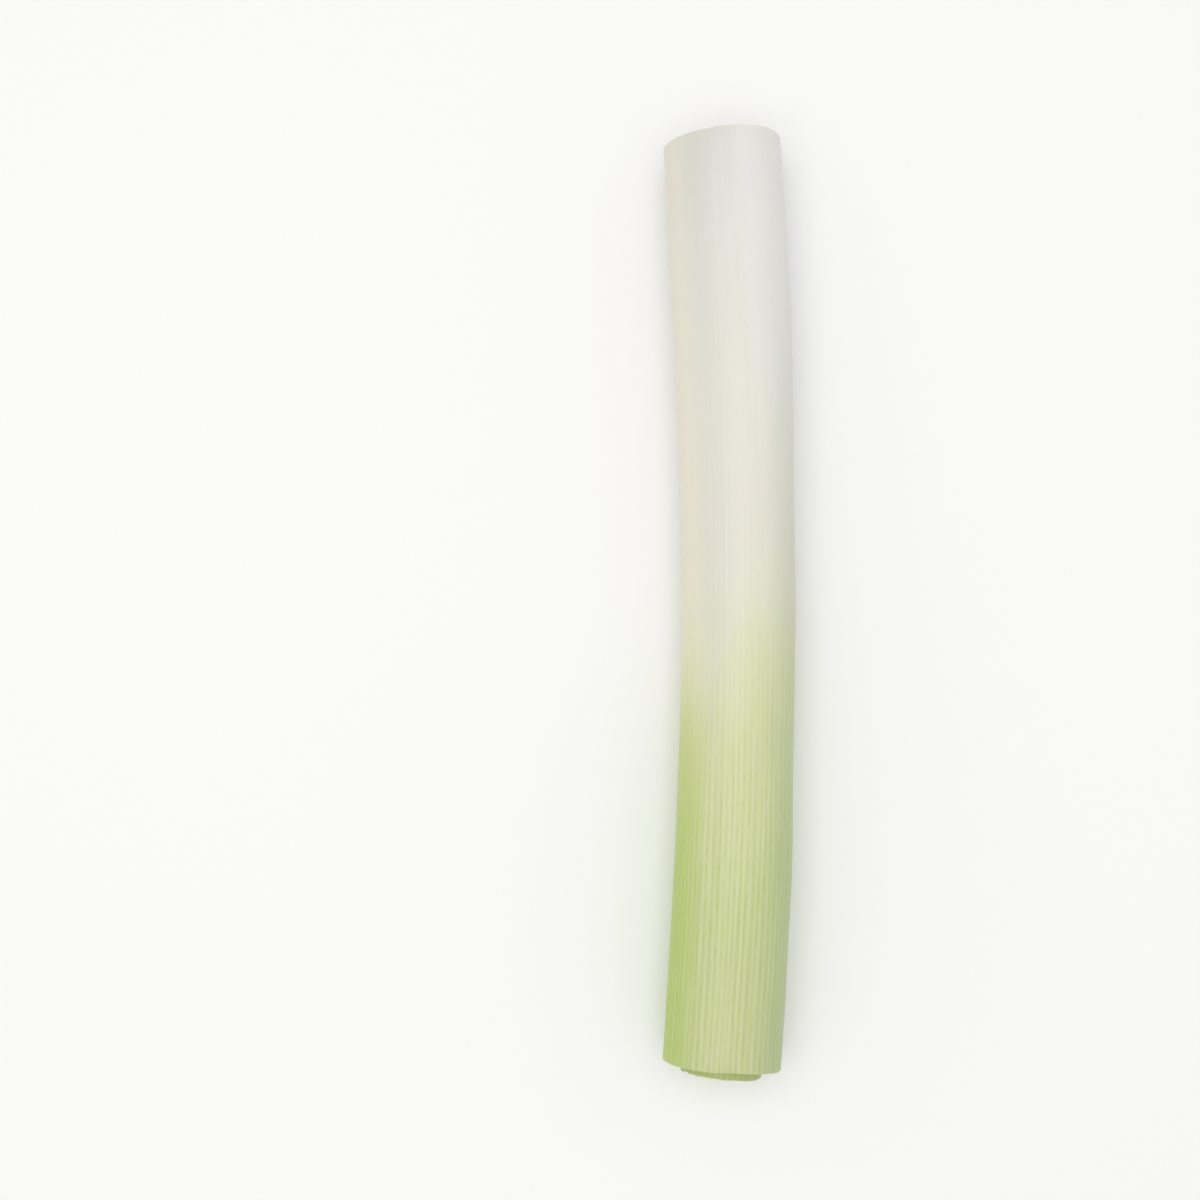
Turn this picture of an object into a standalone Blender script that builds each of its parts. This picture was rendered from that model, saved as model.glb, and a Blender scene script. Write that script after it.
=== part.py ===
"""A leek trimmed at both ends, lying on its side.

Leaf sheaths are nested round a folded young leaf and its bud, and all of them grow from the stem plate at
the root end. Metres, +Z up, +Y towards the root end. The origin is the middle of the bounding box, on the
surface that the leek lies on.
"""

import math

import bmesh
import bpy
from mathutils import Vector

MM = 0.001

# The shaft between its two cuts, with its width at shares of the length from the root end
SHAFT_LENGTH = 233 * MM
SHAFT_WIDTHS = (
    (0.0, 29.5 * MM),
    (0.16, 30.1 * MM),
    (0.43, 28.9 * MM),
    (0.6, 28.9 * MM),
    (0.82, 30.0 * MM),
    (1.0, 30.0 * MM),
)
NOMINAL_RADIUS = 15 * MM
HEIGHT_TO_WIDTH = 0.97
BOW = 4.2 * MM
FLAT_DEPTH = 0.4 * MM
FLAT_EDGE = 0.1 * MM
BEND_RADIUS = SHAFT_LENGTH**2 / (8 * BOW)

# The knife's slant: at the root end the upper side and the outer side of the bow are left longer
ROOT_CUT_LEAN = math.radians(5.5)
ROOT_CUT_SKEW = math.radians(1.7)
LEAF_CUT_LEAN = math.radians(-2.3)

# The sheaths from the outside in: name, wall, and how far the leaf end stands out past the outer one's
SHEATHS = (
    ("outer_sheath", 2.1 * MM, 0.0),
    ("second_sheath", 2.1 * MM, 0.0),
    ("third_sheath", 1.9 * MM, 2.4 * MM),
    ("fourth_sheath", 1.7 * MM, 2.7 * MM),
    ("fifth_sheath", 1.5 * MM, 3.0 * MM),
)
FOLDED_LEAF_WALL = 1.1 * MM
FOLDED_LEAF_STANDS_OUT = 3.2 * MM
FOLDED_LEAF_TURN = math.radians(300)
BUD_STANDS_OUT = 2.9 * MM
GAP = 0.3 * MM

# Veins that stand out on the outer sheath as ribs, strong at the leaf end and faint at the root end
RIBS = 60
RIB_HEIGHT_AT_LEAF = 0.2 * MM
RIB_HEIGHT_AT_ROOT = 0.04 * MM

# The stem plate, a low dome cut flat at the root end, which the inner leaves' feet follow
PLATE_RADIUS = 9 * MM
PLATE_HEIGHT = 7 * MM
FOOT_GAP = 0.5 * MM

# How finely the faceted solids are divided
LENGTHS = 10
FOOT_STEPS = 3
PLATE_STEPS = 6
SIDES = {
    "outer_sheath": 2 * RIBS,
    "second_sheath": 36,
    "third_sheath": 32,
    "fourth_sheath": 28,
    "fifth_sheath": 24,
    "folded_leaf": 20,
    "bud": 16,
    "stem_plate": 32,
}

WHITE_TO_GREEN = (0.68, 0.70, 0.48, 1)
PALE_GREEN = (0.60, 0.67, 0.36, 1)
HEART_YELLOW = (0.72, 0.72, 0.36, 1)
PLATE_CREAM = (0.72, 0.66, 0.50, 1)


def width_at(share):
    """The shaft's width at a share of its length, eased from each stated width to the next."""
    for (low, narrow), (high, wide) in zip(SHAFT_WIDTHS, SHAFT_WIDTHS[1:]):
        if share <= high:
            way = (share - low) / (high - low)
            return narrow + (wide - narrow) * (1 - math.cos(math.pi * way)) / 2
    return SHAFT_WIDTHS[-1][1]


def place_in_shaft(radius, angle, along):
    """The point at this radius of a straight, 30 mm round shaft, moved to where the real one has it."""
    share = min(max(along / SHAFT_LENGTH, 0.0), 1.0)
    half_width = width_at(share) / 2
    girth = half_width / NOMINAL_RADIUS
    across = radius * girth * math.cos(angle)
    up = radius * girth * HEIGHT_TO_WIDTH * math.sin(angle)
    root_slant = -up * math.tan(ROOT_CUT_LEAN) - across * math.tan(ROOT_CUT_SKEW)
    leaf_slant = up * math.tan(LEAF_CUT_LEAN)
    along += (1 - share) * root_slant + share * leaf_slant
    turn = (SHAFT_LENGTH / 2 - along) / BEND_RADIUS
    height = half_width * HEIGHT_TO_WIDTH - FLAT_DEPTH + up
    return Vector(
        (
            (BEND_RADIUS + across) * math.cos(turn) - BEND_RADIUS,
            (BEND_RADIUS + across) * math.sin(turn),
            height if height > FLAT_EDGE else 0.0,
        )
    )


def dome_at(radius):
    """How far the stem plate's dome reaches into the leek at this radius, below zero outside the plate."""
    return PLATE_HEIGHT * (1 - (radius / PLATE_RADIUS) ** 2)


def foot_at(radius):
    """Where a leaf begins at this radius: on the dome, or at the root cut outside it."""
    return max(0.0, dome_at(radius) + FOOT_GAP)


def spread(start, end, steps):
    """Evenly spaced numbers between start and end, without either."""
    return [start + (end - start) * step / steps for step in range(1, steps)]


def line_along(radius, end):
    """Points along a leaf's surface, from its cut end to its foot."""
    stations = [end, *spread(SHAFT_LENGTH, 0.0, LENGTHS), foot_at(radius)]
    return [(radius, along) for along in stations]


def sheath_profile(outer, inner, end):
    """The closed outline of a leaf's wall: down its outer side, in along its foot, up its inner side."""
    foot = [(radius, foot_at(radius)) for radius in spread(outer, inner, FOOT_STEPS)]
    return line_along(outer, end) + foot + line_along(inner, end)[::-1]


def bud_profile(outer, end):
    """The outline of the bud, from the middle of its cut end to the middle of its foot."""
    foot = [(radius, foot_at(radius)) for radius in (outer / 2, 0.0)]
    return [(0.0, end)] + line_along(outer, end) + foot


def plate_profile():
    """The outline of the stem plate, from the top of its dome to the middle of its cut face."""
    dome = [(radius, dome_at(radius)) for radius in spread(0.0, PLATE_RADIUS, PLATE_STEPS)]
    return [(0.0, PLATE_HEIGHT), *dome, (PLATE_RADIUS, 0.0), (0.0, 0.0)]


def turned_mesh(name, profile, closed, turn=2 * math.pi):
    """The profile turned by a Screw modifier, as a straight leaf that stands upright on its foot."""
    mesh = bpy.data.meshes.new(name)
    points = [(radius, 0.0, along) for radius, along in profile]
    edges = [(i, i + 1) for i in range(len(points) - 1)]
    if closed:
        edges.append((len(points) - 1, 0))
    mesh.from_pydata(points, edges, [])
    turned = bpy.data.objects.new(name, mesh)
    bpy.context.scene.collection.objects.link(turned)
    screw = turned.modifiers.new("turned", "SCREW")
    screw.angle = turn
    screw.steps = SIDES[name]
    screw.render_steps = screw.steps
    screw.use_merge_vertices = turn > math.radians(359)
    screw.merge_threshold = 0.01 * MM
    bpy.context.view_layer.update()
    graph = bpy.context.evaluated_depsgraph_get()
    result = bpy.data.meshes.new_from_object(turned.evaluated_get(graph))
    bpy.data.objects.remove(turned)
    return result


def close_ends(mesh):
    """Fills the two open ends of a leaf that doesn't go all the way round, and turns all faces outwards."""
    bm = bmesh.new()
    bm.from_mesh(mesh)
    open_edges = [edge for edge in bm.edges if edge.is_boundary]
    bmesh.ops.holes_fill(bm, edges=open_edges, sides=0)
    bmesh.ops.recalc_face_normals(bm, faces=bm.faces)
    bm.to_mesh(mesh)
    bm.free()


def bend_into_shaft(mesh, outer=None, inner=None):
    """Moves a turned mesh into the real shaft. With outer and inner radii, its outer side gets the ribs."""
    for vertex in mesh.vertices:
        radius = math.hypot(vertex.co.x, vertex.co.y)
        angle = math.atan2(vertex.co.y, vertex.co.x)
        along = vertex.co.z
        if outer:
            share = along / SHAFT_LENGTH
            height = RIB_HEIGHT_AT_ROOT + (RIB_HEIGHT_AT_LEAF - RIB_HEIGHT_AT_ROOT) * share
            groove = height * (1 - math.cos(RIBS * angle)) / 2
            radius -= groove * (radius - inner) / (outer - inner)
        vertex.co = place_in_shaft(radius, angle, along)


def finish(name, colour, roughness):
    """A Principled BSDF for one sub-part."""
    material = bpy.data.materials.new(name)
    material.use_nodes = True
    shader = material.node_tree.nodes["Principled BSDF"]
    shader.inputs["Base Color"].default_value = colour
    shader.inputs["Roughness"].default_value = roughness
    return material


def add_part(mesh, name, colour, roughness, leek):
    """Makes the sub-part's object, parented to the leek."""
    mesh.name = name
    mesh.shade_smooth()
    mesh.set_sharp_from_angle(angle=math.radians(40))
    mesh.materials.clear()
    mesh.materials.append(finish(name, colour, roughness))
    part = bpy.data.objects.new(name, mesh)
    part.parent = leek
    bpy.data.collections["leek"].objects.link(part)


def build_sheaths(leek):
    """The whole leaf sheaths, from the outside in. Returns the radius that is left inside them."""
    outer = NOMINAL_RADIUS
    for name, wall, stands_out in SHEATHS:
        inner = outer - wall
        profile = sheath_profile(outer, inner, SHAFT_LENGTH + stands_out)
        mesh = turned_mesh(name, profile, closed=True)
        if name == "outer_sheath":
            bend_into_shaft(mesh, outer, inner)
            add_part(mesh, name, WHITE_TO_GREEN, 0.42, leek)
        else:
            bend_into_shaft(mesh)
            add_part(mesh, name, PALE_GREEN, 0.45, leek)
        outer = inner - GAP
    return outer


def build_folded_leaf(outer, leek):
    """The youngest open leaf, folded round the bud with its edges apart. Returns the radius inside it."""
    inner = outer - FOLDED_LEAF_WALL
    profile = sheath_profile(outer, inner, SHAFT_LENGTH + FOLDED_LEAF_STANDS_OUT)
    mesh = turned_mesh("folded_leaf", profile, closed=True, turn=FOLDED_LEAF_TURN)
    close_ends(mesh)
    bend_into_shaft(mesh)
    add_part(mesh, "folded_leaf", HEART_YELLOW, 0.45, leek)
    return inner - GAP


def build_bud(outer, leek):
    """The solid bud in the middle."""
    mesh = turned_mesh("bud", bud_profile(outer, SHAFT_LENGTH + BUD_STANDS_OUT), closed=False)
    bend_into_shaft(mesh)
    add_part(mesh, "bud", HEART_YELLOW, 0.45, leek)


def build_stem_plate(leek):
    """The stem plate, cut flush with the sheaths round it."""
    mesh = turned_mesh("stem_plate", plate_profile(), closed=False)
    bend_into_shaft(mesh)
    add_part(mesh, "stem_plate", PLATE_CREAM, 0.6, leek)


def centre_on_base(leek):
    """Moves the leek so that the middle of its bounding box is over the origin."""
    points = [vertex.co for part in leek.children for vertex in part.data.vertices]
    for axis in (0, 1):
        low = min(point[axis] for point in points)
        high = max(point[axis] for point in points)
        leek.location[axis] = -(low + high) / 2


def main():
    for old in list(bpy.data.objects):
        bpy.data.objects.remove(old)
    collection = bpy.data.collections.new("leek")
    bpy.context.scene.collection.children.link(collection)
    leek = bpy.data.objects.new("leek", None)
    collection.objects.link(leek)
    inside_sheaths = build_sheaths(leek)
    inside_folded_leaf = build_folded_leaf(inside_sheaths, leek)
    build_bud(inside_folded_leaf, leek)
    build_stem_plate(leek)
    centre_on_base(leek)


main()
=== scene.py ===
import math

import bpy
import numpy as np
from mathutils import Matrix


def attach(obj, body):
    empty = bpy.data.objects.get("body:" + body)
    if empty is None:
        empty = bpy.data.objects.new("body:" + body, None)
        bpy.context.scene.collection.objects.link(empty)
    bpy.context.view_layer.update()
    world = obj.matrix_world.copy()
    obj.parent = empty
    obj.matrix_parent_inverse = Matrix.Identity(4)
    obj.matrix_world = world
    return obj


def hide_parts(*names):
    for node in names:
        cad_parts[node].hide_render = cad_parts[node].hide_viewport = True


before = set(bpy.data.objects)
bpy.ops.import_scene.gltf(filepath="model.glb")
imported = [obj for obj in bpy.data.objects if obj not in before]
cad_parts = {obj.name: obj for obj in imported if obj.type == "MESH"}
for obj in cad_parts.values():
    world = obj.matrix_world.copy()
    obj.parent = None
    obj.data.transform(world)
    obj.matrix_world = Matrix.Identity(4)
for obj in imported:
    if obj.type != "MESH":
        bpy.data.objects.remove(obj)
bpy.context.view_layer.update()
bpy.ops.object.select_all(action="DESELECT")


# The view. A camera hangs straight above the leek, which lies to the right of the picture's middle with its
# root end at the top. The frame is 1200 pixels square, and a pixel is about a quarter of a millimetre.
VIEW_CENTRE = (-0.03255, 0.0016)
VIEW_HEIGHT = 0.5695
VIEW_LENS_MM = 65.94

bpy.ops.object.camera_add(location=(*VIEW_CENTRE, VIEW_HEIGHT), rotation=(0, 0, 0))
view_camera = bpy.context.object
view_camera.data.lens = VIEW_LENS_MM
bpy.context.scene.camera = view_camera
bpy.context.scene.view_settings.view_transform = "Standard"


# The floor and the light. A plain white studio floor under a wide softbox that hangs above the leek, a little
# to its left, and is tilted to face it. The room round them is bright and white.
MM = 0.001
FLOOR_SIZE = 60
FLOOR_DROP = 0.05 * MM
FLOOR_WHITE = (0.90, 0.90, 0.895, 1)
FLOOR_ROUGHNESS = 0.7
ROOM_WHITE = (1.0, 1.0, 1.0, 1)
ROOM_LIGHT = 0.77
SOFTBOX_SIZE = 0.9
SOFTBOX_PLACE = (-0.12, 0.05, 1.1)
SOFTBOX_WATTS = 4.3


def new_finish(name):
    """A new material and its shader."""
    material = bpy.data.materials.new(name)
    material.use_nodes = True
    return material, material.node_tree.nodes["Principled BSDF"]


bpy.ops.mesh.primitive_plane_add(size=FLOOR_SIZE, location=(0, 0, -FLOOR_DROP))
floor = bpy.context.object
floor.name = "floor"
floor_paint, floor_shader = new_finish("floor_paint")
floor_shader.inputs["Base Color"].default_value = FLOOR_WHITE
floor_shader.inputs["Roughness"].default_value = FLOOR_ROUGHNESS
floor.data.materials.append(floor_paint)

room = bpy.data.worlds.new("room")
room.use_nodes = True
room.node_tree.nodes["Background"].inputs["Color"].default_value = ROOM_WHITE
room.node_tree.nodes["Background"].inputs["Strength"].default_value = ROOM_LIGHT
bpy.context.scene.world = room

bpy.ops.object.light_add(type="AREA", location=SOFTBOX_PLACE)
softbox = bpy.context.object
softbox.data.shape = "SQUARE"
softbox.data.size = SOFTBOX_SIZE
softbox.data.energy = SOFTBOX_WATTS
softbox.rotation_euler = (
    math.atan2(-SOFTBOX_PLACE[1], SOFTBOX_PLACE[2]),
    math.atan2(SOFTBOX_PLACE[0], SOFTBOX_PLACE[2]),
    0,
)


# The outer sheath. The oldest leaf's foot, a closed tube of crisp, moist tissue that shows the leek's whole
# length. It is blanched white where it grew in the earth and turns a streaky yellow-green above it, and its
# veins stand out as ribs there. Both ends are cut with a knife.
ALL_ROUND = 2 * math.pi
SHAFT_LENGTH = 233 * MM
SHAFT_WIDTH_SHARES = (0.0, 0.16, 0.43, 0.6, 0.82, 1.0)
SHAFT_WIDTHS = (29.5 * MM, 30.1 * MM, 28.9 * MM, 28.9 * MM, 30.0 * MM, 30.0 * MM)
NOMINAL_RADIUS = 15 * MM
HEIGHT_TO_WIDTH = 0.97
BOW = 4.2 * MM
BEND_RADIUS = SHAFT_LENGTH**2 / (8 * BOW)
FLAT_DEPTH = 0.4 * MM
SHAFT_PLACE = (2.3546 * MM, 0.7304 * MM)


def width_at(share):
    """The shaft's width at shares of its length, eased from each stated width to the next."""
    step = np.searchsorted(SHAFT_WIDTH_SHARES, share, side="right") - 1
    step = np.clip(step, 0, len(SHAFT_WIDTHS) - 2)
    low, high = np.take(SHAFT_WIDTH_SHARES, step), np.take(SHAFT_WIDTH_SHARES, step + 1)
    narrow, wide = np.take(SHAFT_WIDTHS, step), np.take(SHAFT_WIDTHS, step + 1)
    return narrow + (wide - narrow) * (1 - np.cos(np.pi * (share - low) / (high - low))) / 2


# The swellings along the shaft, each with its length, turns round the shaft, start and share of the whole
SWELLING = 0.16 * MM
SWELLS = ((110 * MM, 2, 0.6, 1.0), (62 * MM, -1, 2.1, 0.7), (35 * MM, 3, 0.0, 0.5))


def swelling_at(angle, along):
    """The slight swellings of a grown shaft, as shares of the largest one."""
    swelling, whole = 0, 0
    for length, turns, start, share in SWELLS:
        swelling = swelling + share * np.sin(ALL_ROUND * along / length + turns * angle + start)
        whole += share
    return swelling / whole


# The slant of both cuts. The root end's falls off in a curl towards the outer side of the bow.
ROOT_CUT_LEAN = math.radians(5.5)
ROOT_CUT_SKEW = math.radians(1.7)
ROOT_CUT_CURL = 1.25 * MM
ROOT_CUT_CURL_START = 8.5 * MM
ROOT_CUT_CURL_POWER = 1.5
LEAF_CUT_LEAN = math.radians(-2.3)

# The layers between the outermost one and the middle are a little out of round and off centre, each in a
# direction of its own
UNROUND = 0.13 * MM
UNROUND_LOBES = 3
UNROUND_TWIST = 9
OFF_CENTRE = 0.4 * MM
OFF_CENTRE_START = -5.65
OFF_CENTRE_TWIST = 6


def place_in_shaft(radius, angle, along):
    """Where points at these radii, angles and lengths of a straight shaft lie in the bowed one."""
    share = np.clip(along / SHAFT_LENGTH, 0, 1)
    half_width = width_at(share) / 2
    girth = half_width / NOMINAL_RADIUS
    layer = radius / NOMINAL_RADIUS
    looseness = np.sin(np.pi * layer)
    radius = radius + SWELLING * swelling_at(angle, along) * layer
    radius = radius + UNROUND * np.sin(UNROUND_LOBES * angle + UNROUND_TWIST * layer) * looseness
    lean = OFF_CENTRE_TWIST * layer + OFF_CENTRE_START
    across = radius * girth * np.cos(angle) + OFF_CENTRE * looseness * np.cos(lean)
    up = (radius * girth * np.sin(angle) + OFF_CENTRE * looseness * np.sin(lean)) * HEIGHT_TO_WIDTH
    root_slant = -up * math.tan(ROOT_CUT_LEAN) - across * math.tan(ROOT_CUT_SKEW)
    past_start = np.maximum(across - ROOT_CUT_CURL_START, 0) / (NOMINAL_RADIUS - ROOT_CUT_CURL_START)
    root_slant += ROOT_CUT_CURL * past_start**ROOT_CUT_CURL_POWER
    leaf_slant = up * math.tan(LEAF_CUT_LEAN)
    along = along + (1 - share) * root_slant + share * leaf_slant
    turn = (SHAFT_LENGTH / 2 - along) / BEND_RADIUS
    height = half_width * HEIGHT_TO_WIDTH - FLAT_DEPTH + up
    return np.stack(
        (
            (BEND_RADIUS + across) * np.cos(turn) - BEND_RADIUS + SHAFT_PLACE[0],
            (BEND_RADIUS + across) * np.sin(turn) + SHAFT_PLACE[1],
            np.maximum(height, 0),
        ),
        axis=1,
    )


PLATE_RADIUS = 9 * MM
PLATE_HEIGHT = 7 * MM
FOOT_GAP = 0.5 * MM


def dome_at(radius):
    """How far the stem plate's dome reaches into the leek at this radius, below zero outside the plate."""
    return PLATE_HEIGHT * (1 - (radius / PLATE_RADIUS) ** 2)


def foot_at(radius):
    """Where a leaf begins at this radius: on the stem plate's dome, or at the root cut outside it."""
    return np.maximum(0, dome_at(radius) + FOOT_GAP)


CUT_CORNER = 0.18 * MM
CUT_CORNER_TURNS = np.radians((30, 60))
CUT_STEPS = 7


def wall_outline(wall, outer_shares, inner_shares, cut_steps=CUT_STEPS):
    """A leaf wall's closed outline as rows of depth in the wall, share of its length, extra length and cut.

    It runs up the outer side, in across the leaf end's cut, down the inner side and out across the root
    end's, and all four corners are rounded.
    """
    corner = CUT_CORNER / wall
    rounding = [
        (corner * (1 - np.cos(turn)), CUT_CORNER * (1 - np.sin(turn)), np.sin(turn))
        for turn in CUT_CORNER_TURNS
    ]
    rows = [(0, share, CUT_CORNER * (1 - 2 * share), 0) for share in outer_shares]
    rows += [(depth, 1, -extra, cut) for depth, extra, cut in rounding]
    rows += [(depth, 1, 0, 1) for depth in np.linspace(corner, 1 - corner, cut_steps)]
    rows += [(1 - depth, 1, -extra, cut) for depth, extra, cut in rounding[::-1]]
    rows += [(1, share, CUT_CORNER * (1 - 2 * share), 0) for share in inner_shares]
    rows += [(1 - depth, 0, extra, cut) for depth, extra, cut in rounding]
    rows += [(depth, 0, 0, 1) for depth in np.linspace(1 - corner, corner, cut_steps)]
    rows += [(depth, 0, extra, cut) for depth, extra, cut in rounding[::-1]]
    return np.array(rows)


# Veins wander to and fro round the leaf, drift along it, and swell and fade in pulses of two lengths
VEIN_WANDER = 3.5
VEIN_WANDER_WAVES = (3, 5, 8, 13)
VEIN_DRIFT = 6
WEAKEST_VEIN = 0.45
PULSE_LENGTHS = (85 * MM, 31 * MM)
PULSE_DEPTH = 0.15


def veins_at(angle, along, veins, seed):
    """How far each point is up its vein's rib, from 0 in the groove to 1, and how strong that vein is."""
    chance = np.random.default_rng(seed)
    phase = veins * angle
    for waves in VEIN_WANDER_WAVES:
        start, drift = chance.uniform(0, ALL_ROUND), VEIN_DRIFT * chance.uniform(-1, 1)
        wander = np.sin(waves * angle + start + drift * along / SHAFT_LENGTH)
        phase = phase + VEIN_WANDER / waves * wander
    strengths = chance.uniform(WEAKEST_VEIN, 1, veins)
    pulse_starts = chance.uniform(0, ALL_ROUND, (len(PULSE_LENGTHS), veins))
    which = np.floor(phase / ALL_ROUND).astype(int) % veins
    pulse = 1 - PULSE_DEPTH * len(PULSE_LENGTHS)
    for length, starts in zip(PULSE_LENGTHS, pulse_starts):
        pulse = pulse + PULSE_DEPTH * np.sin(ALL_ROUND * along / length + starts[which])
    crest = (1 - np.cos(phase)) / 2
    return crest, strengths[which] * pulse


CUT_WAVE = 0.2 * MM
CUT_WAVE_COUNTS = (1, 2, 3, 5, 9, 14)
CUT_WAVE_POWER = 0.7
CUT_WAVE_FADE = 8 * MM


def wave_of_cut(angle, seed):
    """The slant and the small waves that a knife leaves in a cut edge."""
    chance = np.random.default_rng(seed)
    wave = np.zeros_like(angle)
    for waves in CUT_WAVE_COUNTS:
        wave += np.cos(waves * angle + chance.uniform(0, ALL_ROUND)) / waves**CUT_WAVE_POWER
    return CUT_WAVE * wave


def flat_grid(name, columns, rows):
    """A flat grid of this many columns and rows of faces, with the column and the row line of each point."""
    bpy.ops.mesh.primitive_grid_add(x_subdivisions=columns, y_subdivisions=rows, size=1)
    grid = bpy.context.object
    grid.name = name
    places = np.empty(len(grid.data.vertices) * 3)
    grid.data.vertices.foreach_get("co", places)
    across, along = places.reshape(-1, 3)[:, :2].T + 0.5
    return grid, np.rint(across * columns), np.rint(along * rows).astype(int)


SEAM_GAP = 0.001 * MM
SHARP_EDGE = math.radians(50)


def shape_piece(piece, radius, angle, along, groove=0, **marks):
    """Gives a flat grid its place in the shaft, as deep as its grooves are, and joins its seams.

    Its points are marked with their straight place, where they would be without the bow and the grooves, and
    with the other marks that its material reads.
    """
    places = place_in_shaft(radius - groove, angle, along)
    piece.data.vertices.foreach_set("co", places.ravel())
    straight = np.stack((radius * np.cos(angle), along, radius * np.sin(angle)), axis=1)
    attributes = piece.data.attributes
    attributes.new("straight", "FLOAT_VECTOR", "POINT").data.foreach_set("vector", straight.ravel())
    for label, values in marks.items():
        attributes.new(label, "FLOAT", "POINT").data.foreach_set("value", values)
    bpy.ops.object.mode_set(mode="EDIT")
    bpy.ops.mesh.select_all(action="SELECT")
    bpy.ops.mesh.remove_doubles(threshold=SEAM_GAP)
    bpy.ops.mesh.normals_make_consistent(inside=False)
    bpy.ops.object.mode_set(mode="OBJECT")
    bpy.ops.object.shade_smooth_by_angle(angle=SHARP_EDGE)


FACES_PER_VEIN = 8
SNUG_FIT = 0.055 * MM
SNUG_CHANGE = 0.7


def roll_leaf(name, radius, wall, stands_out, outline, veins, ribs, seeds, turn=ALL_ROUND):
    """A flat grid of one leaf's wall, rolled up. Where it doesn't close, its side edges are rounded.

    The ribs have a height at the root end and one at the leaf end. The seeds are those of the veins, of the
    leaf end's cut and of the root end's.
    """
    vein_seed, leaf_cut_seed, root_cut_seed = seeds
    around = FACES_PER_VEIN * veins
    leaf, column, row = flat_grid(name, around, len(outline))
    angle = turn * column / around
    depth, share, extra, cut = outline[row % len(outline)].T
    if turn < ALL_ROUND:
        margin = np.minimum(angle, turn - angle) * radius / (wall / 2)
        thin = np.sqrt(1 - (1 - np.clip(margin, 0, 1)) ** 2)
        depth = 0.5 + (depth - 0.5) * thin
    snug = SNUG_FIT * (1 + SNUG_CHANGE * np.sin(2 * angle + vein_seed))
    away = radius - depth * (wall + snug)
    end = SHAFT_LENGTH + stands_out
    along = foot_at(away) + share * (end - foot_at(away)) + extra
    along += wave_of_cut(angle, leaf_cut_seed) * np.exp((along - end) / CUT_WAVE_FADE)
    along += wave_of_cut(angle, root_cut_seed) * np.exp(-along / CUT_WAVE_FADE)
    crest, strength = veins_at(angle, along, veins, vein_seed)
    vein = crest * strength
    rib_height = ribs[0] + (ribs[1] - ribs[0]) * (along / SHAFT_LENGTH) ** 2
    groove = rib_height * (1 - vein) * (1 - depth)
    shape_piece(leaf, away, angle, along, groove, depth=depth, cut=cut, crest=crest, vein=vein)
    return leaf


def put(tree, kind, *inputs, **settings):
    """Adds a shader node. Each input is a socket's number or name with a value or another node's output."""
    made = tree.nodes.new("ShaderNode" + kind)
    for setting, value in settings.items():
        setattr(made, setting, value)
    for socket, value in inputs:
        if isinstance(value, bpy.types.NodeSocket):
            tree.links.new(value, made.inputs[socket])
        else:
            made.inputs[socket].default_value = value
    return made


def maths(tree, operation, *values):
    """A Math node's result."""
    return put(tree, "Math", *enumerate(values), operation=operation).outputs[0]


def times(tree, product, *factors):
    """All these values multiplied together."""
    for factor in factors:
        product = maths(tree, "MULTIPLY", product, factor)
    return product


def inverse(tree, value):
    """1 where the value is 0, and 0 where it is 1."""
    return maths(tree, "SUBTRACT", 1.0, value)


def ease(tree, value, low, high):
    """0 up to low, 1 from high, and smooth between them."""
    limits = (("From Min", low), ("From Max", high))
    return put(tree, "MapRange", ("Value", value), *limits, interpolation_type="SMOOTHSTEP").outputs[0]


def between(tree, value, low, high):
    """Low where the value is 0, high where it is 1, and even between them."""
    return put(tree, "MapRange", ("Value", value), ("To Min", low), ("To Max", high)).outputs[0]


def tint(tree, share, first, second, how="MIX"):
    """The first colour, tinted with this share of the second. A Mix node takes colours at 6 and 7."""
    colours = ((0, share), (6, first), (7, second))
    return put(tree, "Mix", *colours, data_type="RGBA", blend_type=how).outputs[2]


def read_straight(tree):
    """The straight places that a piece's points are marked with."""
    return put(tree, "Attribute", attribute_name="straight").outputs["Vector"]


def read_mark(tree, label):
    """The numbers that a piece's points are marked with."""
    return put(tree, "Attribute", attribute_name=label).outputs["Fac"]


def share_of(tree, place, axis, whole):
    """A place's share of the whole along one axis."""
    return maths(tree, "DIVIDE", put(tree, "SeparateXYZ", (0, place)).outputs[axis], whole)


def mottle(tree, place, scale, stretch, detail=2.0):
    """Noise along the leaf, finest round it, and stretched this many times along it."""
    squeeze = (1, 1 / stretch, 1)
    squeezed = put(tree, "VectorMath", (0, place), (1, squeeze), operation="MULTIPLY").outputs[0]
    noise = put(tree, "TexNoise", ("Vector", squeezed), ("Scale", scale), ("Detail", detail))
    return noise.outputs["Fac"]


def colours_along(tree, value, stops):
    """A colour ramp with these places and colours."""
    ramp = put(tree, "ValToRGB", (0, value))
    elements = ramp.color_ramp.elements
    places, colours = zip(*stops)
    for place in places[1:-1]:
        elements.new(place)
    for element, place in zip(elements, places):
        element.position = place
    for element, colour in zip(elements, colours):
        element.color = colour
    return ramp.outputs[0]


def raise_relief(tree, shader, height, strength, distance):
    """Shades the surface as if this height stood out from it."""
    bump = put(tree, "Bump", ("Strength", strength), ("Distance", distance), ("Height", height))
    tree.links.new(bump.outputs[0], shader.inputs["Normal"])


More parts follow.
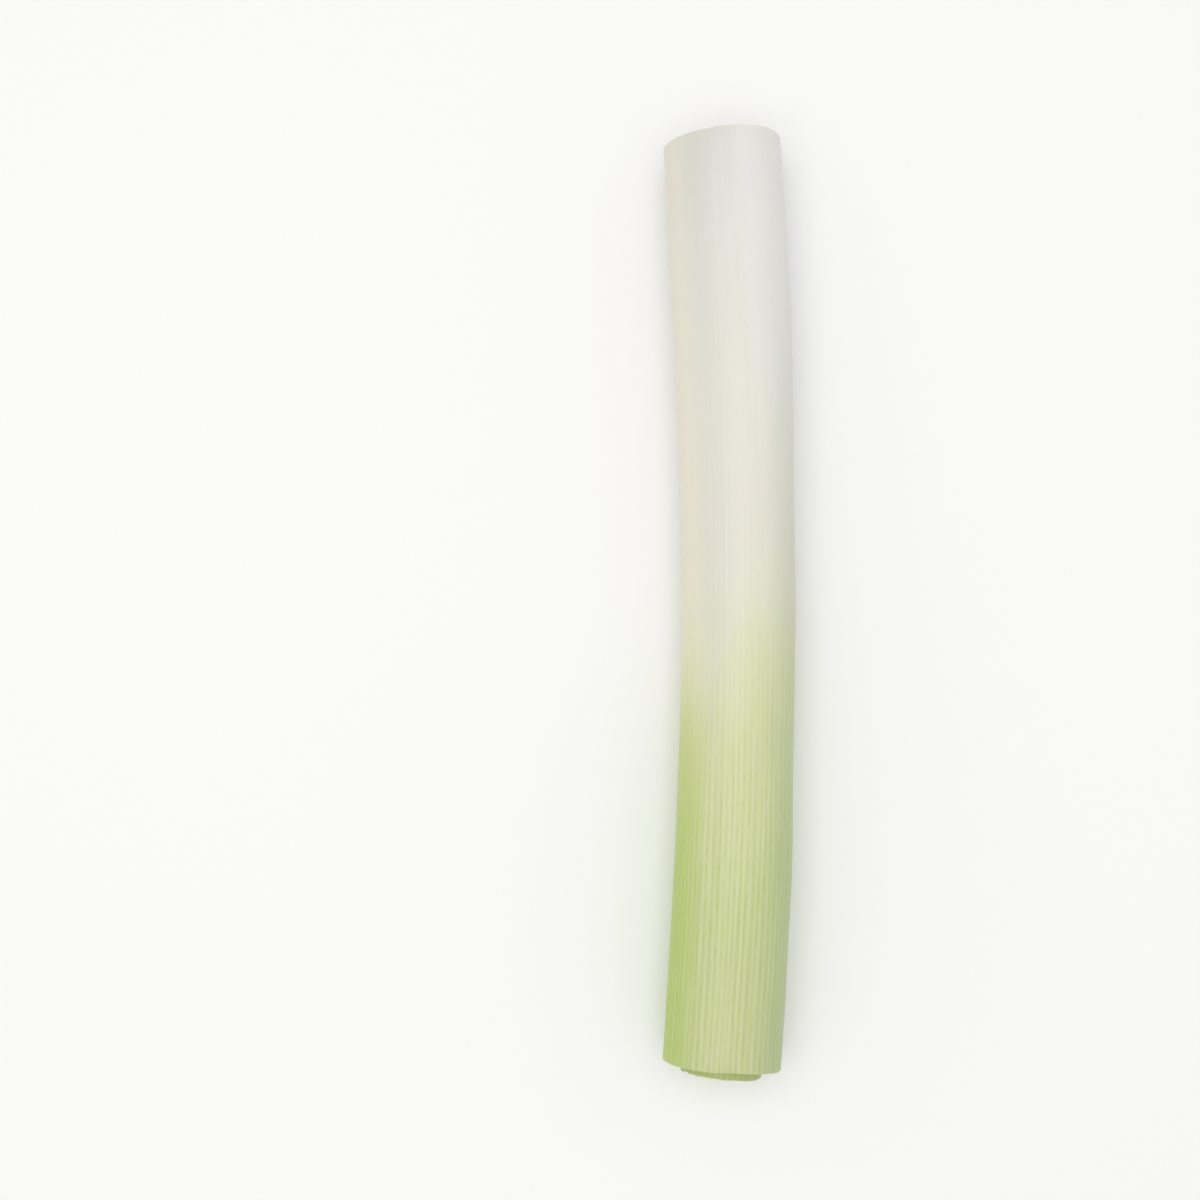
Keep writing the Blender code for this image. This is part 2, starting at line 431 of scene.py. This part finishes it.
# The skin's colours by ripeness: the share of the length, moved a little by the side, streaks and patches
LEAF_COLOURS = (
    (0.0, (0.70, 0.68, 0.62, 1)),
    (0.08, (0.735, 0.715, 0.655, 1)),
    (0.3, (0.76, 0.735, 0.65, 1)),
    (0.46, (0.745, 0.725, 0.615, 1)),
    (0.53, (0.72, 0.715, 0.54, 1)),
    (0.61, (0.665, 0.68, 0.42, 1)),
    (0.7, (0.61, 0.65, 0.36, 1)),
    (0.83, (0.555, 0.605, 0.30, 1)),
    (1.0, (0.55, 0.585, 0.31, 1)),
)
RIPE_START = -0.09
RIPER_ON_RIGHT = 0.045
RIPE_STREAKS = 0.06
RIPE_PATCHES = 0.12

# The colours that tint it, with the share of those that never tint it fully
# Painted green light, bounced onto the left edge of the green part
BOUNCED_GREEN_LIGHT, BOUNCED_GREEN_LIGHT_SHARE = (0.43, 0.54, 0.10, 1), 0.9
BOUNCED_GREEN_LIGHT_RIPER = 0.05
GROOVE_GREEN, GROOVE_SHARE, GROOVE_LINE_SHARE = (0.45, 0.54, 0.16, 1), 0.16, 0.5
CREST_GREY, CREST_SHARE = (0.66, 0.68, 0.50, 1), 0.32
# Painted warm light, bounced onto the left edge of the white part
BOUNCED_WARM_LIGHT, BOUNCED_WARM_LIGHT_SHARE = (0.82, 0.745, 0.54, 1), 0.4
# Painted shade: a soft darker band left of the middle of the white part
PAINTED_SHADE_WHITE = (0.945, 0.945, 0.95, 1)
COOL_WHITE, COOL_SHARE = (0.82, 0.805, 0.79, 1), 0.5
SHADE_GREY = (0.82, 0.85, 0.85, 1)
FINE_LINE_SHARE, FINE_LINE_SHARE_MORE_IN_GREEN = 0.12, 0.6
# What yellowing takes from red, green and blue: a yellower tone, and a darkening that is painted shade
YELLOWING_AND_SHADE_LOSSES = (1, 0.8, 1.6)


def leaf_skin(tree, straight, streak, patch, fine, yellowing_and_shade):
    """The skin's colour: white below, streaky green above, and finely lined all over."""
    crest, vein = read_mark(tree, "crest"), read_mark(tree, "vein")
    side = share_of(tree, straight, "X", NOMINAL_RADIUS)
    share = share_of(tree, straight, "Y", SHAFT_LENGTH)
    ripe = maths(tree, "MULTIPLY_ADD", side, RIPER_ON_RIGHT, RIPE_START)
    ripe = maths(tree, "MULTIPLY_ADD", streak, RIPE_STREAKS, ripe)
    ripe = maths(tree, "MULTIPLY_ADD", patch, RIPE_PATCHES, ripe)
    ripe = maths(tree, "ADD", ripe, share)
    skin = colours_along(tree, ripe, LEAF_COLOURS)
    green = ease(tree, ripe, low=0.52, high=0.74)
    white = inverse(tree, green)

    # The green part: stronger on the left with painted green bounce light, greener in its grooves and greyer
    # on its crests
    left = ease(tree, times(tree, side, -1.0), low=0.45, high=1.0)
    bounced_green_light = ease(tree, maths(tree, "MULTIPLY_ADD", left, BOUNCED_GREEN_LIGHT_RIPER, ripe), low=0.54, high=0.68)
    skin = tint(tree, times(tree, left, bounced_green_light, BOUNCED_GREEN_LIGHT_SHARE), skin, BOUNCED_GREEN_LIGHT)
    ribbed = ease(tree, ripe, low=0.46, high=0.86)
    lush = ease(tree, mottle(tree, straight, scale=760, stretch=3.5), low=0.3, high=0.7)
    groove = ease(tree, inverse(tree, vein), low=0.2, high=1.0)
    groove_line = ease(tree, inverse(tree, crest), low=0.45, high=1.0)
    groove_line = times(tree, groove_line, lush, GROOVE_LINE_SHARE)
    groove = maths(tree, "MULTIPLY_ADD", groove, GROOVE_SHARE, groove_line)
    skin = tint(tree, times(tree, groove, ribbed), skin, GROOVE_GREEN)
    lively = ease(tree, mottle(tree, straight, scale=520, stretch=4), low=0.3, high=0.68)
    ridge = ease(tree, vein, low=0.1, high=0.9)
    skin = tint(tree, times(tree, ridge, ribbed, lively, CREST_SHARE), skin, CREST_GREY)

    # The white part: painted warm bounce light on the left, painted shade beside it, and cool on the right
    # near the root end
    skin = tint(tree, times(tree, left, white, BOUNCED_WARM_LIGHT_SHARE), skin, BOUNCED_WARM_LIGHT)
    # A band of painted shade left of the middle
    painted_shade_band = ease(tree, side, low=-0.9, high=-0.5)
    painted_shade_band = maths(tree, "SUBTRACT", painted_shade_band, ease(tree, side, low=-0.2, high=0.25))
    skin = tint(tree, times(tree, painted_shade_band, white), skin, PAINTED_SHADE_WHITE, "MULTIPLY")
    cool = ease(tree, side, low=0.0, high=0.35)
    cool = maths(tree, "SUBTRACT", cool, ease(tree, share, low=0.1, high=0.45))
    skin = tint(tree, times(tree, maths(tree, "MAXIMUM", cool, 0.0), COOL_SHARE), skin, COOL_WHITE)

    # All of it: painted shade on the right, finely lined, and yellowed and darkened, partly as painted shade
    right = ease(tree, side, low=0.3, high=1.0)
    right = times(tree, right, ease(tree, share, low=-0.25, high=0.6))
    skin = tint(tree, right, skin, SHADE_GREY, "MULTIPLY")
    lined = tint(tree, 1.0, skin, between(tree, fine, low=0.84, high=1.14), "MULTIPLY")
    line_share = maths(tree, "MULTIPLY_ADD", green, FINE_LINE_SHARE_MORE_IN_GREEN, FINE_LINE_SHARE)
    skin = tint(tree, line_share, skin, lined)
    # The yellower tone, and a darkening that is painted shade
    yellow = [1 - yellowing_and_shade * loss for loss in YELLOWING_AND_SHADE_LOSSES]
    return tint(tree, 1.0, skin, (*yellow, 1), "MULTIPLY")


CELL_CREAM, CELL_SHARE = (0.93, 0.94, 0.82, 1), 0.5
WHITE_LINE = (0.68, 0.64, 0.50, 1)
OUTER_HALF_SHARE, OUTER_SKIN_SHARE, INNER_SKIN_SHARE = 0.3, 0.75, 0.4

# The dot at each vein: its depth in the wall, which changes along streaks, its size there and its narrowness
DOT_DEPTH, DOT_DEPTH_CHANGE = 0.2, 0.25
DOT_SIZE = 0.085
DOT_NARROWNESS = 8.0
DOT_SHARE = 0.6


def leaf_flesh(tree, straight, streak, cells, green_flesh, white_flesh, green_line):
    """The cut flesh's colour: spongy, darker towards both skins, and with a dark dot at each vein."""
    depth, crest, vein = (read_mark(tree, label) for label in ("depth", "crest", "vein"))
    leaf_end = ease(tree, share_of(tree, straight, "Y", SHAFT_LENGTH), low=0.45, high=0.55)
    flesh = tint(tree, leaf_end, white_flesh, green_flesh)
    line = tint(tree, leaf_end, WHITE_LINE, green_line)
    flesh = tint(tree, times(tree, cells, CELL_SHARE), flesh, CELL_CREAM, "SOFT_LIGHT")

    outer_half = inverse(tree, ease(tree, depth, low=0.0, high=0.5))
    flesh = tint(tree, times(tree, outer_half, OUTER_HALF_SHARE), flesh, line)
    outer_skin = inverse(tree, ease(tree, depth, low=0.01, high=0.11))
    flesh = tint(tree, times(tree, outer_skin, OUTER_SKIN_SHARE), flesh, line)
    inner_skin = ease(tree, depth, low=0.9, high=1.0)
    flesh = tint(tree, times(tree, inner_skin, INNER_SKIN_SHARE), flesh, line)

    dot_depth = maths(tree, "MULTIPLY_ADD", streak, DOT_DEPTH_CHANGE, DOT_DEPTH)
    off = maths(tree, "DIVIDE", maths(tree, "SUBTRACT", dot_depth, depth), DOT_SIZE)
    off = maths(tree, "POWER", maths(tree, "ABSOLUTE", off), 2.0)
    off = maths(tree, "MULTIPLY_ADD", inverse(tree, crest), DOT_NARROWNESS, off)
    dot = inverse(tree, ease(tree, off, low=0.3, high=1.4))
    return tint(tree, times(tree, dot, vein, DOT_SHARE), flesh, line)


CELL_DENSITY = 2600
CELL_RELIEF = 1.5
WET_SMOOTHNESS = 0.1


def leaf_material(name, green_flesh, white_flesh, green_line, yellowing_and_shade=0.0):
    """Leaf tissue: a waxy, streaky skin, and spongy flesh where it is cut. Yellowing, partly painted shade,
    darkens its skin.
    """
    material, shader = new_finish(name)
    tree = material.node_tree
    straight, cut = read_straight(tree), read_mark(tree, "cut")
    streak = mottle(tree, straight, scale=800, stretch=9, detail=3.0)
    patch = mottle(tree, straight, scale=70, stretch=3)
    fine = mottle(tree, straight, scale=1500, stretch=60)
    cells = put(tree, "TexVoronoi", ("Vector", straight), ("Scale", CELL_DENSITY)).outputs["Distance"]
    skin = leaf_skin(tree, straight, streak, patch, fine, yellowing_and_shade)
    flesh = leaf_flesh(tree, straight, streak, cells, green_flesh, white_flesh, green_line)
    tree.links.new(tint(tree, cut, skin, flesh), shader.inputs["Base Color"])

    wax = between(tree, patch, low=0.30, high=0.46)
    roughness = maths(tree, "MULTIPLY_ADD", cut, -WET_SMOOTHNESS, wax)
    tree.links.new(roughness, shader.inputs["Roughness"])
    shader.inputs["Subsurface Weight"].default_value = 0.2
    shader.inputs["Subsurface Radius"].default_value = (1.0, 0.9, 0.4)
    shader.inputs["Subsurface Scale"].default_value = 1.2 * MM
    grain = maths(tree, "MULTIPLY_ADD", times(tree, cells, cut), CELL_RELIEF, fine)
    raise_relief(tree, shader, grain, strength=0.35, distance=0.12 * MM)
    return material


OUTER_SHEATH_RADIUS = 15 * MM
OUTER_SHEATH_WALL = 2.28 * MM
OUTER_SHEATH_VEINS = 60
OUTER_RIBS = (0.04 * MM, 0.2 * MM)
OUTER_SEEDS = (11, 17739, 104821)
OUTER_GREEN_FLESH = (0.64, 0.70, 0.42, 1)
OUTER_WHITE_FLESH = (0.84, 0.82, 0.73, 1)
OUTER_GREEN_LINE = (0.36, 0.48, 0.12, 1)
SHOWN_STEPS = 120
HIDDEN_STEPS = 36

outer_outline = wall_outline(
    OUTER_SHEATH_WALL, np.linspace(0, 1, SHOWN_STEPS), np.linspace(1, 0, HIDDEN_STEPS)
)
outer_sheath = roll_leaf(
    "outer_sheath_leaf", OUTER_SHEATH_RADIUS, OUTER_SHEATH_WALL, 0, outer_outline,
    OUTER_SHEATH_VEINS, OUTER_RIBS, OUTER_SEEDS,
)
outer_sheath.data.materials.append(
    leaf_material("outer_leaf", OUTER_GREEN_FLESH, OUTER_WHITE_FLESH, OUTER_GREEN_LINE)
)
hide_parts("outer_sheath")
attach(outer_sheath, "root")


# The inner sheaths. Four younger leaf feet stand inside the outer one, each a closed tube that fits the one
# round it. They went on growing after the cut, so from the third on they stand out a little at the leaf end.
INNER_SHEATHS = (
    ("second_sheath", 12.6 * MM, 2.28 * MM, 0.0, 52, (12, 22, 62)),
    ("third_sheath", 10.2 * MM, 2.08 * MM, 2.4 * MM, 44, (13, 27088, 63)),
    ("fourth_sheath", 8.0 * MM, 1.88 * MM, 2.7 * MM, 36, (14, 24, 64)),
    ("fifth_sheath", 6.0 * MM, 1.68 * MM, 3.0 * MM, 28, (15, 25, 65)),
)
INNER_RIBS = (0.02 * MM, 0.06 * MM)
# The inner leaves' skin is yellower, and darker with painted shade
INNER_YELLOWING_AND_SHADE = 0.2

# The colours where they are cut, each from the second sheath to the fifth
INNER_GREEN_FLESH = (
    (0.67, 0.73, 0.40, 1), (0.71, 0.75, 0.39, 1), (0.75, 0.77, 0.39, 1), (0.77, 0.77, 0.38, 1)
)
INNER_WHITE_FLESH = (
    (0.84, 0.82, 0.70, 1), (0.84, 0.82, 0.67, 1), (0.84, 0.82, 0.64, 1), (0.84, 0.82, 0.61, 1)
)
INNER_GREEN_LINES = (
    (0.40, 0.52, 0.13, 1), (0.45, 0.55, 0.14, 1), (0.52, 0.60, 0.16, 1), (0.58, 0.63, 0.18, 1)
)

# The steps along a side that stands out, of which the last ones are close together
HIDDEN_SHARES = np.linspace(0, 0.96, 34)
SHEATH_END_SHARES = np.linspace(0.97, 1, 8)

inner_shares = np.concatenate((HIDDEN_SHARES, SHEATH_END_SHARES))
inner_colours = zip(INNER_GREEN_FLESH, INNER_WHITE_FLESH, INNER_GREEN_LINES)
for (node_name, radius, wall, stands_out, veins, seeds), colours in zip(INNER_SHEATHS, inner_colours):
    outline = wall_outline(wall, inner_shares, np.linspace(1, 0, HIDDEN_STEPS))
    sheath = roll_leaf(node_name + "_leaf", radius, wall, stands_out, outline, veins, INNER_RIBS, seeds)
    sheath.data.materials.append(leaf_material(node_name + "_tissue", *colours, INNER_YELLOWING_AND_SHADE))
    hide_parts(node_name)
    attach(sheath, "root")


# The folded leaf. The youngest leaf that has opened, rolled round the bud like a scroll, thin and pale
# yellow, with its two rounded edges apart.
FOLDED_LEAF_RADIUS = 4.2 * MM
FOLDED_LEAF_WALL = 1.28 * MM
FOLDED_LEAF_STANDS_OUT = 3.2 * MM
FOLDED_LEAF_TURN = math.radians(300)
FOLDED_LEAF_VEINS = 18
FOLDED_LEAF_SEEDS = (21, 31, 71)
FOLDED_LEAF_CUT_STEPS = 6
SCROLL_END_SHARES = np.linspace(0.97, 1, 6)
HEART_GREEN_FLESH = (0.78, 0.77, 0.36, 1)
HEART_WHITE_FLESH = (0.80, 0.77, 0.52, 1)
HEART_GREEN_LINE = (0.62, 0.64, 0.20, 1)

scroll_shares = np.concatenate((HIDDEN_SHARES, SCROLL_END_SHARES))
scroll_outline = wall_outline(FOLDED_LEAF_WALL, scroll_shares, scroll_shares[::-1], FOLDED_LEAF_CUT_STEPS)
folded_leaf = roll_leaf(
    "folded_leaf_scroll", FOLDED_LEAF_RADIUS, FOLDED_LEAF_WALL, FOLDED_LEAF_STANDS_OUT, scroll_outline,
    FOLDED_LEAF_VEINS, INNER_RIBS, FOLDED_LEAF_SEEDS, FOLDED_LEAF_TURN,
)
folded_leaf.data.materials.append(
    leaf_material("heart_leaf", HEART_GREEN_FLESH, HEART_WHITE_FLESH, HEART_GREEN_LINE)
)
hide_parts("folded_leaf")
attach(folded_leaf, "root")


# The bud. The youngest leaves of all, still packed into one solid yellow stem that the knife cut through, so
# that their folded edges show as rings on its end.
BUD_RADIUS = 2.8 * MM
BUD_END = SHAFT_LENGTH + 2.9 * MM
BUD_CORNER = 0.05 * MM
BUD_AROUND = 96
BUD_CUT_STEPS = 24
BUD_FOOT_STEPS = 4
BUD_YELLOW = (0.76, 0.74, 0.30, 1)
BUD_PALE_YELLOW = (0.82, 0.80, 0.42, 1)

# The rings of folded edges, a little oval, which fade out in the very middle
BUD_RINGS = 4
BUD_RING_DEPTH = 0.12 * MM
BUD_RING_OVAL = 0.35
BUD_RING_LEAN = 0.5
BUD_RING_SHARPNESS = 12
BUD_RING_FADE = 0.1 * BUD_RADIUS
FOLD_GREEN, FOLD_SHARE = (0.55, 0.56, 0.16, 1), 0.7


def roll_core(name, around, radii, alongs):
    """A flat grid for a solid turned core, whose rows run from pole to pole at these radii and lengths."""
    core, column, row = flat_grid(name, around, len(radii) - 1)
    return core, ALL_ROUND * column / around, radii[row], alongs[row]


bud_foot_radii = np.linspace(BUD_RADIUS, 0, BUD_FOOT_STEPS + 1)[1:]
bud_radii = np.concatenate((
    np.linspace(0, BUD_RADIUS - CUT_CORNER, BUD_CUT_STEPS),
    [BUD_RADIUS - BUD_CORNER],
    np.full(HIDDEN_STEPS, BUD_RADIUS),
    bud_foot_radii,
))
bud_alongs = np.concatenate((
    np.full(BUD_CUT_STEPS, BUD_END),
    [BUD_END - BUD_CORNER],
    np.linspace(BUD_END - CUT_CORNER, foot_at(BUD_RADIUS), HIDDEN_STEPS),
    foot_at(bud_foot_radii),
))
bud, angle, radius, along = roll_core("bud_core", BUD_AROUND, bud_radii, bud_alongs)
rings = radius / BUD_RADIUS * BUD_RINGS + BUD_RING_OVAL * np.cos(2 * angle + BUD_RING_LEAN)
fold = np.cos(np.pi * rings) ** BUD_RING_SHARPNESS * np.minimum(radius / BUD_RING_FADE, 1)
along = along - BUD_RING_DEPTH * fold * (along == BUD_END)
shape_piece(bud, radius, angle, along, fold=fold)


def bud_material():
    """Packed young leaves: pale yellow, with a darker line at each fold."""
    material, shader = new_finish("bud_yellow")
    tree = material.node_tree
    fine = mottle(tree, read_straight(tree), scale=1800, stretch=30)
    flesh = tint(tree, fine, BUD_YELLOW, BUD_PALE_YELLOW)
    flesh = tint(tree, times(tree, read_mark(tree, "fold"), FOLD_SHARE), flesh, FOLD_GREEN)
    tree.links.new(flesh, shader.inputs["Base Color"])
    shader.inputs["Roughness"].default_value = 0.4
    shader.inputs["Subsurface Weight"].default_value = 0.2
    shader.inputs["Subsurface Scale"].default_value = 1.2 * MM
    raise_relief(tree, shader, fine, strength=0.3, distance=0.1 * MM)
    return material


bud.data.materials.append(bud_material())
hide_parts("bud")
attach(bud, "root")


# The stem plate. The leek's short stem, a firm cream-coloured dome that all the leaves stand on. The knife
# cut it flat through the roots, whose stubs show as small rings round its middle.
PLATE_AROUND = 160
PLATE_CUT_STEPS = 46
PLATE_DOME_STEPS = 8
PLATE_CREAM = (0.77, 0.71, 0.56, 1)
PLATE_PALE_CREAM = (0.83, 0.79, 0.68, 1)
MIDDLE_BROWN, MIDDLE_SHARE = (0.66, 0.55, 0.34, 1), 0.35

# The root stubs, crowded a little out of round
STUB_SPACING = 2.0 * MM
STUB_UNROUND = 1.1 * MM
STUB_RING_DISTANCE = 0.27
STUB_PITH_CREAM, STUB_PITH_SHARE = (0.86, 0.82, 0.70, 1), 0.5
STUB_RING_BROWN, STUB_RING_SHARE = (0.57, 0.47, 0.29, 1), 0.4
STUB_CORE_BROWN, STUB_CORE_SHARE = (0.52, 0.42, 0.24, 1), 0.45

plate_dome_radii = np.linspace(PLATE_RADIUS, 0, PLATE_DOME_STEPS + 1)[1:]
plate_radii = np.concatenate((np.linspace(0, PLATE_RADIUS, PLATE_CUT_STEPS), plate_dome_radii))
plate_alongs = np.concatenate((np.zeros(PLATE_CUT_STEPS), dome_at(plate_dome_radii)))
plate, angle, radius, along = roll_core("stem_plate_disc", PLATE_AROUND, plate_radii, plate_alongs)
shape_piece(plate, radius, angle, along)


def plate_material():
    """Firm stem tissue: cream, a little browner in the middle, with a ring and a core at each root stub."""
    material, shader = new_finish("plate_cream")
    tree = material.node_tree
    straight = read_straight(tree)
    place = put(tree, "SeparateXYZ", (0, straight)).outputs
    on_face = put(tree, "CombineXYZ", (0, place["X"]), (1, place["Z"])).outputs[0]
    away = put(tree, "VectorMath", (0, on_face), operation="LENGTH").outputs["Value"]
    grain = put(tree, "TexNoise", ("Vector", straight), ("Scale", 900), ("Detail", 5.0)).outputs["Fac"]
    flesh = tint(tree, ease(tree, grain, low=0.3, high=0.7), PLATE_CREAM, PLATE_PALE_CREAM)
    middle = inverse(tree, ease(tree, away, low=1.0 * MM, high=5.0 * MM))
    flesh = tint(tree, times(tree, middle, MIDDLE_SHARE), flesh, MIDDLE_BROWN)

    push = put(tree, "TexNoise", ("Vector", straight), ("Scale", 650), ("Detail", 1.0)).outputs["Color"]
    push = put(tree, "VectorMath", (0, push), ("Scale", STUB_UNROUND), operation="SCALE").outputs[0]
    pushed = put(tree, "VectorMath", (0, on_face), (1, push), operation="ADD").outputs[0]
    stub = put(
        tree, "TexVoronoi", ("Vector", pushed), ("Scale", 1 / STUB_SPACING), ("Randomness", 0.8),
        voronoi_dimensions="2D",
    ).outputs["Distance"]
    rooted = ease(tree, away, low=2.2 * MM, high=4.0 * MM)
    off_ring = maths(tree, "ABSOLUTE", maths(tree, "SUBTRACT", stub, STUB_RING_DISTANCE))
    pith = times(tree, inverse(tree, ease(tree, stub, low=0.2, high=0.28)), rooted)
    ring = times(tree, inverse(tree, ease(tree, off_ring, low=0.01, high=0.07)), rooted)
    core = times(tree, inverse(tree, ease(tree, stub, low=0.03, high=0.13)), rooted)
    flesh = tint(tree, times(tree, pith, STUB_PITH_SHARE), flesh, STUB_PITH_CREAM)
    flesh = tint(tree, times(tree, ring, STUB_RING_SHARE), flesh, STUB_RING_BROWN)
    flesh = tint(tree, times(tree, core, STUB_CORE_SHARE), flesh, STUB_CORE_BROWN)

    tree.links.new(flesh, shader.inputs["Base Color"])
    shader.inputs["Roughness"].default_value = 0.55
    shader.inputs["Subsurface Weight"].default_value = 0.15
    shader.inputs["Subsurface Scale"].default_value = 1.0 * MM
    height = maths(tree, "SUBTRACT", maths(tree, "SUBTRACT", grain, ring), core)
    raise_relief(tree, shader, height, strength=0.5, distance=0.15 * MM)
    return material


plate.data.materials.append(plate_material())
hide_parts("stem_plate")
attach(plate, "root")
